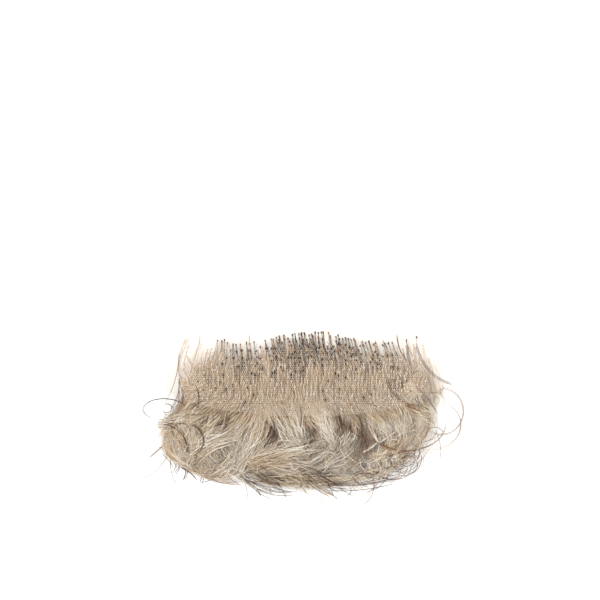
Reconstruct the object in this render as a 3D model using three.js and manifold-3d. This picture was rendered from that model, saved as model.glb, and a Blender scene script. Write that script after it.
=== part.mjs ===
// A full chin beard, knotted by hand on a lace foundation. It lies hair down with its lace on top.
// Millimetres: X runs across the face, Y up towards the ears, Z up from the surface it lies on.

import * as THREE from 'three';
import { mergeVertices } from 'three/addons/utils/BufferGeometryUtils.js';
import Module from 'manifold-3d';

const wasm = await Module();
wasm.setup();

// The lace as it is cut: square across the top with round corners, short sides, a round lower edge
const laceWidth = 155;
const laceHeight = 52;
const laceSide = 31;
const laceCorner = 16;
const laceThickness = 1;

// The bare margin that is glued to the skin, above and beside the hair
const topMargin = 10;
const sideMargin = 6;

// The hair: how thick it lies in the middle, how far it falls past the lace, how thin its tips get
const hairPile = 10.5;
const hairFall = 38.5;
const tipPile = 4.7;
const thinnestHair = 0.8;
const hairCount = 3;

// The room between pieces that lie on each other
const clearance = 0.3;

// How far the lace runs before it has climbed onto the hair, down from the hairline and in from the sides
const topClimb = 35;
const sideClimb = 18;

const laceColour = '#cdbfb2';
const hairColours = { outer: '#6d6159', middle: '#a3917c', under: '#c0aa8f' };

const halfWidth = laceWidth / 2;
const share = (value, from, to) => THREE.MathUtils.clamp((value - from) / (to - from), 0, 1);
const ease = (t) => 1 - (1 - t) ** 2;

function laceTop(x) {
  const inCorner = THREE.MathUtils.clamp(Math.abs(x) - (halfWidth - laceCorner), 0, laceCorner);
  return Math.sqrt(laceCorner ** 2 - inCorner ** 2) - laceCorner;
}

function laceBottom(x) {
  const across = Math.min(Math.abs(x) / halfWidth, 1);
  return -laceSide - (laceHeight - laceSide) * Math.sqrt(1 - across ** 2);
}

// How high the lace's underside is: flat on the surface at the margins, and up on the hair inside them
function sideLift(x) {
  return ease(share(halfWidth - sideMargin - Math.abs(x), 0, sideClimb));
}

function laceLift(x, y) {
  return (hairPile + clearance) * ease(share(-y - topMargin, 0, topClimb)) * sideLift(x);
}

// How thick the hair may lie: its full pile in the middle, thinner to the sides and to the tips
function pileAt(x, y) {
  const toSide = share(Math.abs(x), halfWidth / 2, halfWidth);
  const toTip = share(laceBottom(x) - y, 0, hairFall);
  const toEdge = Math.min(Math.hypot(toSide, toTip), 1);
  return THREE.MathUtils.lerp(hairPile, tipPile, toEdge ** 2);
}

// The layers of hair lie like shingles, layer 0 on the surface and each next one on the one before
function layerFloor(layer, x, y) {
  return layer === 0 ? 0 : pileAt(x, y) * layer / hairCount + clearance;
}

function layerCeiling(layer, x, y) {
  const open = pileAt(x, y) * (layer + 1) / hairCount;
  const underLace = Math.min(open, laceLift(x, y) - clearance);
  const clearOfLace = share(laceBottom(x) - y, 0, topMargin);
  const ceiling = THREE.MathUtils.lerp(underLace, open, clearOfLace);
  return Math.max(ceiling, layerFloor(layer, x, y) + thinnestHair);
}

function layerHeight(layer, x, y, rise) {
  return THREE.MathUtils.lerp(layerFloor(layer, x, y), layerCeiling(layer, x, y), rise);
}

// Where a layer starts under the lace: the line on which there is room for it
function layerStart(layer, x) {
  const room = layerFloor(layer, x, 0) + thinnestHair + clearance;
  const climb = Math.min(room / (hairPile + clearance) / sideLift(x), 1);
  return -topMargin - topClimb * (1 - Math.sqrt(1 - climb));
}

function closedBody(positions, indices) {
  const geometry = new THREE.BufferGeometry();
  geometry.setAttribute('position', new THREE.Float32BufferAttribute(positions, 3));
  geometry.setIndex(indices);
  return mergeVertices(geometry, 1e-4);
}

// A closed sheet: a grid of columns and rows with an upper and a lower face and walls round its edge
function sheetBody(columns, rows, place) {
  const positions = [];
  const indices = [];
  const faceSize = (columns + 1) * (rows + 1);
  const at = (column, row, face) => face * faceSize + row * (columns + 1) + column;
  const quad = (a, b, c, d) => indices.push(a, b, c, a, c, d);
  for (const face of [0, 1]) {
    for (let row = 0; row <= rows; row++) {
      for (let column = 0; column <= columns; column++) {
        positions.push(...place(column / columns, row / rows, face));
      }
    }
  }
  for (let row = 0; row < rows; row++) {
    for (let column = 0; column < columns; column++) {
      const [right, below] = [column + 1, row + 1];
      quad(at(column, row, 1), at(column, below, 1), at(right, below, 1), at(right, row, 1));
      quad(at(column, row, 0), at(right, row, 0), at(right, below, 0), at(column, below, 0));
    }
    quad(at(0, row, 1), at(0, row, 0), at(0, row + 1, 0), at(0, row + 1, 1));
    quad(at(columns, row, 1), at(columns, row + 1, 1), at(columns, row + 1, 0), at(columns, row, 0));
  }
  for (let column = 0; column < columns; column++) {
    const right = column + 1;
    quad(at(column, 0, 1), at(right, 0, 1), at(right, 0, 0), at(column, 0, 0));
    quad(at(column, rows, 1), at(column, rows, 0), at(right, rows, 0), at(right, rows, 1));
  }
  return closedBody(positions, indices);
}

const laceColumns = 34;
const laceRows = 10;

function laceFoundation() {
  return sheetBody(laceColumns, laceRows, (across, down, face) => {
    const x = -halfWidth * Math.cos(Math.PI * across);
    const y = THREE.MathUtils.lerp(laceTop(x), laceBottom(x), down);
    return [x, y, laceLift(x, y) + face * laceThickness];
  });
}

// The bed of a layer: the roots of its hair, combed flat from its starting line to past the lace's edge.
// Its left and right ends are shares of the half width.
const bedColumns = 18;
const bedRows = 5;
const bedPastLace = 2;

function bed({ layer, left, right, lowest }) {
  return sheetBody(bedColumns, bedRows, (across, down, face) => {
    const x = halfWidth * THREE.MathUtils.lerp(left, right, across);
    const y = THREE.MathUtils.lerp(layerStart(layer, x), laceBottom(x) - bedPastLace, down);
    return [x, y, layerHeight(layer, x, y, face === 0 ? lowest : 1 - lowest)];
  });
}

// A lock is rooted in the bed and swings to its tip. Its columns, all of them shares: root and tip
// across the half width of the lace, drop down the hair's fall, bow and sway sideways of the lock's
// own length (one bend or two, to the left where positive), and width of the half width. At its tip
// a lock keeps a share of its width.
const lockSides = 6;
const lockStations = 9;
const tipShare = 0.25;

function lockPoint({ layer, rootAt, bendAt }, { root, tip, drop, bow, sway = 0 }, t) {
  const rootX = root * halfWidth;
  const rootY = THREE.MathUtils.lerp(layerStart(layer, rootX), laceBottom(rootX), rootAt);
  const start = new THREE.Vector2(rootX, rootY);
  const end = new THREE.Vector2(tip * halfWidth, -laceHeight - drop * hairFall);
  const chord = end.clone().sub(start);
  const bend = Math.PI * t ** (Math.log(0.5) / Math.log(bendAt));
  const side = bow * Math.sin(bend) + sway * Math.sin(2 * bend);
  return start.addScaledVector(chord, t).add(new THREE.Vector2(chord.y, -chord.x).multiplyScalar(side));
}

function lockBody(tier, row) {
  const positions = [];
  const indices = [];
  const flat = Math.sin(Math.PI / 2 * (1 - 2 / lockSides));
  for (let station = 0; station <= lockStations; station++) {
    const [before, t, after] = [station - 0.5, station, station + 0.5].map((at) => at / lockStations);
    const centre = lockPoint(tier, row, t);
    const along = lockPoint(tier, row, after).sub(lockPoint(tier, row, Math.max(before, 0))).normalize();
    const halfLock = row.width * halfWidth / 2 * THREE.MathUtils.lerp(1, tipShare, t ** 2);
    for (let side = 0; side < lockSides; side++) {
      const angle = 2 * Math.PI * side / lockSides;
      const out = halfLock * Math.cos(angle);
      const [x, y] = [centre.x - along.y * out, centre.y + along.x * out];
      positions.push(x, y, layerHeight(tier.layer, x, y, 0.5 + 0.5 * Math.sin(angle) / flat));
    }
  }
  for (let station = 0; station < lockStations; station++) {
    for (let side = 0; side < lockSides; side++) {
      const next = (side + 1) % lockSides;
      const [a, b] = [station * lockSides + side, station * lockSides + next];
      indices.push(a, b + lockSides, a + lockSides, a, b, b + lockSides);
    }
  }
  const lastRing = lockStations * lockSides;
  for (let side = 1; side < lockSides - 1; side++) {
    indices.push(0, side + 1, side);
    indices.push(lastRing, lastRing + side, lastRing + side + 1);
  }
  return closedBody(positions, indices);
}

function toSolid(geometry) {
  const vertProperties = new Float32Array(geometry.attributes.position.array);
  const triVerts = new Uint32Array(geometry.index.array);
  return new wasm.Manifold(new wasm.Mesh({ numProp: 3, vertProperties, triVerts }));
}

function toGeometry(solid) {
  const { vertProperties, triVerts } = solid.getMesh();
  const geometry = new THREE.BufferGeometry();
  geometry.setAttribute('position', new THREE.BufferAttribute(vertProperties, 3));
  geometry.setIndex(new THREE.BufferAttribute(triVerts, 1));
  return geometry;
}

function hairLayer(tier) {
  const locks = tier.locks.map((row) => toSolid(lockBody(tier, row)));
  return toGeometry(locks.reduce((whole, lock) => whole.add(lock), toSolid(bed(tier))));
}

// The outer layer shows on the face: dark hair, the longest, which lies on the surface
const outerHair = {
  layer: 0,
  left: -0.78,
  right: 0.84,
  lowest: 0.3,
  rootAt: 0.04,
  bendAt: 0.74,
  locks: [
    { root: -0.73, tip: -0.97, drop: 0.14, bow: -0.13, width: 0.13 },
    { root: -0.67, tip: -0.93, drop: 0.52, bow: -0.14, width: 0.15 },
    { root: -0.62, tip: -0.78, drop: 0.74, bow: 0.04, width: 0.16 },
    { root: -0.54, tip: -0.57, drop: 0.84, bow: 0.17, width: 0.17 },
    { root: -0.42, tip: -0.34, drop: 0.93, bow: 0.21, width: 0.17 },
    { root: -0.30, tip: -0.12, drop: 0.97, bow: 0.23, width: 0.17 },
    { root: -0.18, tip: 0.04, drop: 0.98, bow: 0.22, width: 0.17 },
    { root: -0.06, tip: 0.20, drop: 0.95, bow: 0.21, width: 0.17 },
    { root: 0.06, tip: 0.34, drop: 0.91, bow: 0.20, width: 0.17 },
    { root: 0.18, tip: 0.47, drop: 0.86, bow: 0.19, width: 0.17 },
    { root: 0.30, tip: 0.59, drop: 0.79, bow: 0.17, width: 0.17 },
    { root: 0.42, tip: 0.68, drop: 0.70, bow: 0.07, width: 0.17 },
    { root: 0.54, tip: 0.76, drop: 0.59, bow: -0.03, width: 0.16 },
    { root: 0.66, tip: 0.79, drop: 0.45, bow: -0.12, width: 0.15 },
    { root: 0.76, tip: 0.80, drop: 0.27, bow: -0.12, width: 0.13 },
  ],
};

// The middle layer is darker blond, and swings sideways over the outer one
const middleHair = {
  layer: 1,
  left: -0.76,
  right: 0.76,
  lowest: 0.15,
  rootAt: 0.75,
  bendAt: 0.5,
  locks: [
    { root: -0.58, tip: -0.88, drop: 0.58, bow: 0.14, width: 0.15 },
    { root: -0.46, tip: -0.86, drop: 0.60, bow: -0.20, width: 0.15 },
    { root: -0.36, tip: -0.05, drop: 0.84, bow: 0.34, sway: -0.08, width: 0.16 },
    { root: -0.13, tip: -0.03, drop: 0.80, bow: 0.22, sway: -0.08, width: 0.16 },
    { root: 0.05, tip: -0.40, drop: 0.62, bow: -0.24, width: 0.15 },
    { root: 0.21, tip: -0.26, drop: 0.70, bow: -0.27, width: 0.15 },
    { root: 0.34, tip: 0.00, drop: 0.74, bow: -0.26, width: 0.15 },
    { root: 0.48, tip: 0.26, drop: 0.76, bow: -0.16, width: 0.15 },
    { root: 0.59, tip: 0.46, drop: 0.64, bow: -0.26, width: 0.14 },
    { root: 0.66, tip: 0.62, drop: 0.52, bow: -0.32, width: 0.13 },
  ],
};

// The under layer is the shortest and lies next to the lace: pale blond S-shaped curls
const underHair = {
  layer: 2,
  left: -0.70,
  right: 0.70,
  lowest: 0.15,
  rootAt: 0.7,
  bendAt: 0.5,
  locks: [
    { root: -0.55, tip: -0.93, drop: 0.10, bow: -0.08, width: 0.13 },
    { root: -0.60, tip: -0.82, drop: 0.66, bow: 0.12, sway: 0.12, width: 0.13 },
    { root: -0.52, tip: -0.76, drop: 0.62, bow: 0.04, sway: 0.08, width: 0.13 },
    { root: -0.46, tip: -0.56, drop: 0.82, bow: 0.34, sway: -0.10, width: 0.14 },
    { root: -0.38, tip: -0.48, drop: 0.72, bow: 0.30, sway: -0.12, width: 0.13 },
    { root: -0.28, tip: -0.42, drop: 0.64, bow: 0.00, sway: -0.03, width: 0.13 },
    { root: -0.28, tip: -0.05, drop: 0.42, bow: 0.06, width: 0.18 },
    { root: -0.13, tip: -0.03, drop: 0.40, bow: -0.04, width: 0.14 },
    { root: 0.00, tip: 0.19, drop: 0.37, bow: 0.03, width: 0.17 },
    { root: 0.18, tip: 0.26, drop: 0.38, bow: -0.06, width: 0.14 },
    { root: 0.35, tip: 0.50, drop: 0.38, bow: -0.04, width: 0.15 },
    { root: 0.50, tip: 0.58, drop: 0.36, bow: -0.22, width: 0.13 },
    { root: 0.60, tip: 0.68, drop: 0.29, bow: -0.26, width: 0.12 },
  ],
};

function hairMaterial(colour) {
  return new THREE.MeshStandardMaterial({ color: colour, roughness: 0.55, metalness: 0 });
}

function piece(name, geometry, material) {
  const mesh = new THREE.Mesh(geometry, material);
  mesh.name = name;
  return mesh;
}

const beard = new THREE.Group();
const laceMaterial = new THREE.MeshStandardMaterial({ color: laceColour, roughness: 0.9, metalness: 0 });
beard.add(piece('lace_foundation', laceFoundation(), laceMaterial));
beard.add(piece('outer_hair', hairLayer(outerHair), hairMaterial(hairColours.outer)));
beard.add(piece('middle_hair', hairLayer(middleHair), hairMaterial(hairColours.middle)));
beard.add(piece('under_hair', hairLayer(underHair), hairMaterial(hairColours.under)));

// The origin is on the surface, under the middle of the whole beard
const whole = new THREE.Box3().setFromObject(beard);
const middle = whole.getCenter(new THREE.Vector3());
beard.position.set(-middle.x, -middle.y, 0);

export default beard;
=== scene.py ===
"""A full chin beard of wavy hair, knotted by hand on a lace foundation, lying hair down with its lace up.

Sizes are in metres. Inside the sections, x runs across the face and y is measured from the middle of
the lace's top edge, negative down the beard; settle() puts such points where the frame has the lace.
The rows of wisps and strays are in millimetres and degrees.
"""

import math
from collections import namedtuple

import bpy
import numpy as np
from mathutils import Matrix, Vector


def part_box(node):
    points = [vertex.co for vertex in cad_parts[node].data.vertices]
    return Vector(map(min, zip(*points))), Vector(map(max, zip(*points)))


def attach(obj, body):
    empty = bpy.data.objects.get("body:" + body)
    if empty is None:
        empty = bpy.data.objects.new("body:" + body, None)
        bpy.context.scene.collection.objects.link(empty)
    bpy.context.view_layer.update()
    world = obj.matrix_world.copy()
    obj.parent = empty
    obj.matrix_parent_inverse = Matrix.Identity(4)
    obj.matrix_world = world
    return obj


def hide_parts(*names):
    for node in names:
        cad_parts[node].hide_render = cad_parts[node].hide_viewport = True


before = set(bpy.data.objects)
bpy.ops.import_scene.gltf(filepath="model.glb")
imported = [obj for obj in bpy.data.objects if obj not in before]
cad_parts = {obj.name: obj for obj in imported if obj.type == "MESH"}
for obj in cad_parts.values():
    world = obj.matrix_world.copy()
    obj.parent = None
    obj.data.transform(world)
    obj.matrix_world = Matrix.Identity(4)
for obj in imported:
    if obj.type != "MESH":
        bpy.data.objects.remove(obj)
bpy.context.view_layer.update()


# The camera hangs straight above the beard with a long lens, as a catalogue set is photographed.
# The picture is 312 mm wide, and its middle lies a little above the lace's top edge.
MM = 0.001
PICTURE_WIDTH = 312 * MM
PICTURE_MIDDLE = (-2.1 * MM, 8.3 * MM)
CAMERA_HEIGHT = 1.5
FARTHEST_SEEN = 10
SENSOR_WIDTH = 36.0
lace_low, lace_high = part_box("lace_foundation")

camera_data = bpy.data.cameras.new("copy_stand_camera")
camera_data.sensor_width = SENSOR_WIDTH
camera_data.lens = SENSOR_WIDTH * CAMERA_HEIGHT / PICTURE_WIDTH
camera_data.clip_end = FARTHEST_SEEN
camera = bpy.data.objects.new("copy_stand_camera", camera_data)
camera.location = (PICTURE_MIDDLE[0], lace_high.y + PICTURE_MIDDLE[1], CAMERA_HEIGHT)
bpy.context.scene.collection.objects.link(camera)
bpy.context.scene.camera = camera


# The table is a sheet of smooth pale card under two soft boxes and a pale room, lit until it is white.
# Card is matt, so it shows only the faintest shadow beside the hair.
def linear(colour_hex):
    """An sRGB hex colour as linear red, green, blue and alpha."""
    channels = [int(colour_hex[i:i + 2], 16) / 255 for i in (1, 3, 5)]
    return (*[c / 12.92 if c <= 0.04045 else ((c + 0.055) / 1.055) ** 2.4 for c in channels], 1.0)


def add_node(tree, kind, settings=None, links=None):
    """Adds a node, sets its sockets and properties, and links its sockets to what feeds them."""
    made = tree.nodes.new(kind)
    for name, value in (settings or {}).items():
        if name in made.inputs:
            made.inputs[name].default_value = value
        else:
            setattr(made, name, value)
    for socket, source in (links or {}).items():
        tree.links.new(source, made.inputs[socket])
    return made


def new_material(name):
    """An empty node material and its tree."""
    material = bpy.data.materials.new(name)
    material.use_nodes = True
    material.node_tree.nodes.clear()
    return material, material.node_tree


def pale_card():
    """Matt pale grey card: an even surface with a faint tooth."""
    material, tree = new_material("pale_card")
    tooth = add_node(tree, "ShaderNodeTexNoise", {"Scale": 900.0, "Detail": 3.0})
    bump = add_node(tree, "ShaderNodeBump", {"Strength": 0.05, "Distance": 0.0002},
                    {"Height": tooth.outputs["Fac"]})
    card = add_node(tree, "ShaderNodeBsdfPrincipled",
                    {"Base Color": linear("#f2f0ed"), "Roughness": 0.9, "Specular IOR Level": 0.1},
                    {"Normal": bump.outputs["Normal"]})
    add_node(tree, "ShaderNodeOutputMaterial", links={"Surface": card.outputs["BSDF"]})
    return material


TABLE_SIZE = 6.0
ROOM_STRENGTH = 1.08
bpy.ops.mesh.primitive_plane_add(size=TABLE_SIZE)
table = bpy.context.object
table.name = "table"
table.data.materials.append(pale_card())

SOFT_BOX_SIZE = 0.9
SOFT_BOXES = [
    ("soft_box_left", (-0.9, 0.7, 1.3), 19.0),
    ("soft_box_right", (1.0, -0.5, 1.3), 11.0),
]
for name, place, power in SOFT_BOXES:
    light = bpy.data.lights.new(name, "AREA")
    light.size = SOFT_BOX_SIZE
    light.energy = power
    box = bpy.data.objects.new(name, light)
    box.location = place
    box.rotation_euler = (-box.location).to_track_quat("-Z", "Y").to_euler()
    bpy.context.scene.collection.objects.link(box)

room = bpy.data.worlds.new("pale_room")
room.use_nodes = True
room.node_tree.nodes["Background"].inputs["Color"].default_value = linear("#ffffff")
room.node_tree.nodes["Background"].inputs["Strength"].default_value = ROOM_STRENGTH
bpy.context.scene.world = room
bpy.context.scene.view_settings.view_transform = "Standard"


# The lace foundation is a fine hexagonal net of twisted nylon thread, cut to one flat shape.
# It lies flat on the table at its bare margins and climbs onto the hair that hangs from it.
# The real net has a cell about every 0.7 mm. It is drawn coarser here, with a cell every 1.1 mm.
LACE_WIDTH = lace_high.x - lace_low.x
LACE_HEIGHT = lace_high.y - lace_low.y
HALF_WIDTH = LACE_WIDTH / 2
LACE_SIDE = 31 * MM
LACE_CORNER = 16 * MM
LACE_SOLID = 1 * MM
CLEARANCE = 0.3 * MM
TOP_MARGIN = 10 * MM
SIDE_MARGIN = 6 * MM
TOP_CLIMB = 35 * MM
SIDE_CLIMB = 18 * MM
LACE_CREST = lace_high.z - LACE_SOLID
THREAD_SIDES = 3
NET_PITCH = 1.1 * MM
THREAD_RADIUS = 0.072 * MM
NEARLY_UP = (0.0, 0.02, 1.0)
TONE_STRIP = 0.006
MAP_MARGIN = 0.01
chance = np.random.default_rng(31)


def share(value, low, high):
    """How far value is from low to high, from 0 to 1."""
    return np.clip((value - low) / (high - low), 0, 1)


def eased(t):
    """A climb that starts steep and ends level."""
    return 1 - (1 - t) ** 2


def smooth(t):
    """A turn-over that is level at both ends."""
    return t * t * (3 - 2 * t)


def lace_top(x):
    """The lace's upper edge at x."""
    in_corner = np.clip(np.abs(x) - (HALF_WIDTH - LACE_CORNER), 0, LACE_CORNER)
    return np.sqrt(LACE_CORNER ** 2 - in_corner ** 2) - LACE_CORNER


def lace_bottom(x):
    """The lace's lower edge at x."""
    across = np.clip(np.abs(x) / HALF_WIDTH, 0, 1)
    return -LACE_SIDE - (LACE_HEIGHT - LACE_SIDE) * np.sqrt(1 - across ** 2)


def lace_lift(x, y):
    """How high the hair holds the lace's underside above the table."""
    from_top = eased(share(-y - TOP_MARGIN, 0, TOP_CLIMB))
    from_side = eased(share(HALF_WIDTH - SIDE_MARGIN - np.abs(x), 0, SIDE_CLIMB))
    return LACE_CREST * from_top * from_side


def under_lace(x, y, z):
    """Heights kept below the lace where it covers the point, and rising gently from under its lower edge."""
    edge = lace_bottom(x)
    ceiling = lace_lift(x, np.maximum(y, edge)) - CLEARANCE + np.maximum(edge - y, 0)
    return np.where(np.abs(x) < HALF_WIDTH, np.minimum(z, np.maximum(ceiling, CLEARANCE)), z)


def settle(points):
    """Points of this file, moved to where the frame has the lace."""
    return points + np.array([0.0, lace_high.y, 0.0])


def tube_mesh(name, paths, radii, tones):
    """One mesh of closed thin tubes. Each follows a row of points, and its UV holds its tone and length.

    The map keeps a strand's tone across and the way from root to tip upwards, and the hair and thread
    materials read their colour there.
    """
    count, stations = paths.shape[:2]
    along = np.gradient(paths, axis=1)
    along /= np.linalg.norm(along, axis=2, keepdims=True)
    aside = np.cross(along, NEARLY_UP)
    aside /= np.linalg.norm(aside, axis=2, keepdims=True)
    above = np.cross(aside, along)
    rings = []
    for corner in range(THREAD_SIDES):
        angle = 2 * math.pi * (corner + 0.25) / THREAD_SIDES
        out = math.cos(angle) * aside + math.sin(angle) * above
        rings.append(paths + radii[..., None] * out)
    points = settle(np.stack(rings, axis=2)).reshape(-1, 3)

    ring = np.arange(count * stations).reshape(count, stations) * THREAD_SIDES
    corners = np.arange(THREAD_SIDES)
    after = (corners + 1) % THREAD_SIDES
    low = ring[:, :-1, None]
    high = ring[:, 1:, None]
    quads = np.stack([low + corners, low + after, high + after, high + corners], axis=-1)
    caps = np.stack([ring[:, 0, None] + corners[::-1], ring[:, -1, None] + corners], axis=1)

    tone = np.clip(tones, MAP_MARGIN, 1 - 2 * MAP_MARGIN)[:, None, None]
    left = np.broadcast_to(tone + TONE_STRIP * corners / THREAD_SIDES, quads.shape[:3])
    right = left + TONE_STRIP / THREAD_SIDES
    reach = np.linspace(MAP_MARGIN, 1 - MAP_MARGIN, stations)
    start = np.broadcast_to(reach[None, :-1, None], quads.shape[:3])
    end = np.broadcast_to(reach[None, 1:, None], quads.shape[:3])
    quad_uv = np.stack([np.stack([left, right, right, left], -1), np.stack([start, start, end, end], -1)], -1)
    cap_u = np.broadcast_to(tone + TONE_STRIP * corners / THREAD_SIDES, (count, 2, THREAD_SIDES))
    cap_v = np.array([[0.004, 0.008, 0.006], [0.994, 0.998, 0.996]])
    cap_uv = np.stack([cap_u, np.broadcast_to(cap_v, cap_u.shape)], -1)

    mesh = bpy.data.meshes.new(name)
    mesh.vertices.add(len(points))
    mesh.vertices.foreach_set("co", points.astype(np.float32).ravel())
    quad_count = quads.size // 4
    cap_count = count * 2
    loop_index = np.concatenate([quads.reshape(-1), caps.reshape(-1)])
    mesh.loops.add(len(loop_index))
    mesh.loops.foreach_set("vertex_index", loop_index.astype(np.int32))
    sizes = np.concatenate([np.full(quad_count, 4), np.full(cap_count, THREAD_SIDES)])
    mesh.polygons.add(len(sizes))
    mesh.polygons.foreach_set("loop_start", (np.cumsum(sizes) - sizes).astype(np.int32))
    mesh.polygons.foreach_set("use_smooth", np.ones(len(sizes), bool))
    mesh.update(calc_edges=True)
    uv_map = mesh.uv_layers.new(name="OFBake")
    uv = np.concatenate([quad_uv.reshape(-1, 2), cap_uv.reshape(-1, 2)])
    uv_map.data.foreach_set("uv", uv.astype(np.float32).ravel())
    mesh.validate()
    return mesh


def new_piece(name, mesh, material, node):
    """A mesh object that rides on the beard and stands for one of its solids."""
    mesh.materials.append(material)
    piece = bpy.data.objects.new(name, mesh)
    bpy.context.scene.collection.objects.link(piece)
    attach(piece, "root")
    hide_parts(node)
    return piece


def net_threads():
    """Both ends of each thread of a hexagonal net that covers the lace's outline."""
    side = NET_PITCH / math.sqrt(3)
    columns = np.arange(-math.ceil(HALF_WIDTH / NET_PITCH), math.ceil(HALF_WIDTH / NET_PITCH) + 1)
    rows = np.arange(0, math.ceil(LACE_HEIGHT / (1.5 * side)) + 1)
    column, row = np.meshgrid(columns, rows)
    knot_x = ((column + 0.5 * (row % 2)) * NET_PITCH).ravel()
    knot_y = (-row * 1.5 * side).ravel()
    knot = np.stack([knot_x, knot_y], -1)
    below = knot + [0.0, -side]
    ends = [below, knot + [-NET_PITCH / 2, side / 2], knot + [NET_PITCH / 2, side / 2]]
    threads = np.concatenate([np.stack([knot, end], 1) for end in ends])
    x, y = threads[..., 0], threads[..., 1]
    inside = (np.abs(x) <= HALF_WIDTH) & (y <= lace_top(x)) & (y >= lace_bottom(x))
    return threads[inside.all(axis=1)]


def strand_map(tree):
    """Sockets of the strand map: the map itself, each strand's tone, and the way from its root to its tip."""
    place = add_node(tree, "ShaderNodeUVMap", {"uv_map": "OFBake"})
    split = add_node(tree, "ShaderNodeSeparateXYZ", links={"Vector": place.outputs["UV"]})
    return place.outputs["UV"], split.outputs["X"], split.outputs["Y"]


def shaded(tree, source, *shades):
    """The colour of a socket's value on a scale. Each shade has its place there and its colour."""
    scale = add_node(tree, "ShaderNodeValToRGB", links={"Fac": source})
    elements = scale.color_ramp.elements
    elements[0].position = shades[0][0]
    elements[-1].position = shades[-1][0]
    for position, _ in shades[1:-1]:
        elements.new(position)
    for element, (_, shade) in zip(elements, shades):
        element.color = linear(shade)
    return scale.outputs["Color"]


def nylon_thread():
    """Fine nylon thread, dyed to fair skin: pale and slightly pink, with a soft shine."""
    material, tree = new_material("nylon_lace_thread")
    _, tone, _ = strand_map(tree)
    dye = shaded(tree, tone, (0.0, "#dcc8b2"), (1.0, "#ecdfd0"))
    nylon = add_node(tree, "ShaderNodeBsdfPrincipled",
                     {"Roughness": 0.5, "IOR": 1.53, "Specular IOR Level": 0.3}, {"Base Color": dye})
    add_node(tree, "ShaderNodeOutputMaterial", links={"Surface": nylon.outputs["BSDF"]})
    return material


threads = net_threads()
thread_heights = lace_lift(threads[..., 0], threads[..., 1]) + 2 * THREAD_RADIUS
thread_paths = np.concatenate([threads, thread_heights[..., None]], axis=2)
thread_radii = np.full(thread_paths.shape[:2], THREAD_RADIUS)
lace_mesh = tube_mesh("lace_net", thread_paths, thread_radii, chance.random(len(threads)))
lace_net = new_piece("lace_net", lace_mesh, nylon_thread(), "lace_foundation")


# The knots: a few hairs at a time are drawn through the net and tied round its threads, in rows.
# The hairline dips and rises, and the rows at the front are tied in dark and ginger hair.
HAIRLINE_DEPTH = 11.6 * MM
HAIRLINE_WAVE = 2.9 * MM
HAIRLINE_WAVELENGTH = 72 * MM
HAIRLINE_PEAK = 3 * MM
HAIRLINE_ENDS = 7 * MM
HAIRLINE_TURN = (58 * MM, 67 * MM)
FIRST_ROW = 1 * MM
KNOT_ROWS = 2.0 * MM
KNOT_COLUMNS = 1.75 * MM
KNOT_JITTER_ACROSS = 0.45 * MM
KNOT_JITTER_DOWN = 0.6 * MM
FIRST_ROW_JITTER = 0.8
KNOT_MARGIN = 1.2 * MM
SIDE_THINNING = 0.8
SIDE_FROM = (44 * MM, 52 * MM)
SIDE_THIN_DEPTH = (5 * MM, 20 * MM)
FRONT_DEPTH = (1.5 * MM, 7 * MM)
FRONT_WIDTH = (46 * MM, 52 * MM)
KNOT_LEFT = -64.5 * MM
KNOT_RIGHT = 65 * MM
KNOT_RADIUS = 0.44 * MM
KNOT_LENGTH = 1.3 * MM
KNOT_RISE = 1.15 * KNOT_RADIUS
KNOT_WANDER = 0.06 * MM
KNOT_SIZES = (0.75, 1.15)
BLOND_KNOT_SIZE = 0.7
KNOT_STATIONS = 4
MIDDLE_REACH = 44 * MM
FIRST_ROW_REACH = 48 * MM
FIRST_ROW_DARK = 0.75

# A tone is a place on the hair's scale of shades: dark from 0, then ginger, and blond up to 1.
GINGER_FROM = 0.23
BLOND_FROM = 0.36
DARK_TONES = (0.02, 0.22)
GINGER_TONES = (0.24, 0.35)
BLOND_TONES = (0.55, 0.95)
PALEST_TONE = 0.97
PALEST_SHARE = 0.35


def hairline(x):
    """The line of the first row of knots."""
    wave = HAIRLINE_WAVE * np.cos(2 * math.pi * (x - HAIRLINE_PEAK) / HAIRLINE_WAVELENGTH)
    return wave - HAIRLINE_DEPTH - HAIRLINE_ENDS * smooth(share(np.abs(x), *HAIRLINE_TURN))


def knot_places():
    """Jittered rows of knots from the hairline to the lace's lower edge, few at the front of the sides."""
    rows = np.arange(0, LACE_HEIGHT / KNOT_ROWS)
    columns = np.arange(KNOT_LEFT, KNOT_RIGHT, KNOT_COLUMNS)
    row, x = np.meshgrid(rows, columns, indexing="ij")
    x = (x + KNOT_COLUMNS * 0.5 * (row % 2) + chance.normal(0, KNOT_JITTER_ACROSS, x.shape)).ravel()
    row = row.ravel()
    jitter = chance.normal(0, KNOT_JITTER_DOWN, x.shape) * np.where(row > 0, 1.0, FIRST_ROW_JITTER)
    y = hairline(x) - row * KNOT_ROWS + jitter
    depth = hairline(x) - y
    at_side = share(np.abs(x), *SIDE_FROM)
    thinned = chance.random(x.shape) < SIDE_THINNING * at_side * (1 - share(depth, *SIDE_THIN_DEPTH))
    kept = (y > lace_bottom(x) + KNOT_MARGIN) & ~thinned
    return np.stack([x, y], -1)[kept]


def few_pale_in_front(places, tones):
    """Which knots stay: most of the pale ones in the front rows of the middle are left out."""
    x, y = places.T
    depth = hairline(x) - y
    at_front = 1 - share(depth, *FRONT_DEPTH)
    in_middle = 1 - share(np.abs(x), *FRONT_WIDTH)
    left_out = np.where(tones < BLOND_FROM, 0.1 + 0.3 * (depth > FIRST_ROW), 0.9)
    return chance.random(len(x)) > left_out * at_front * in_middle


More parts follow.
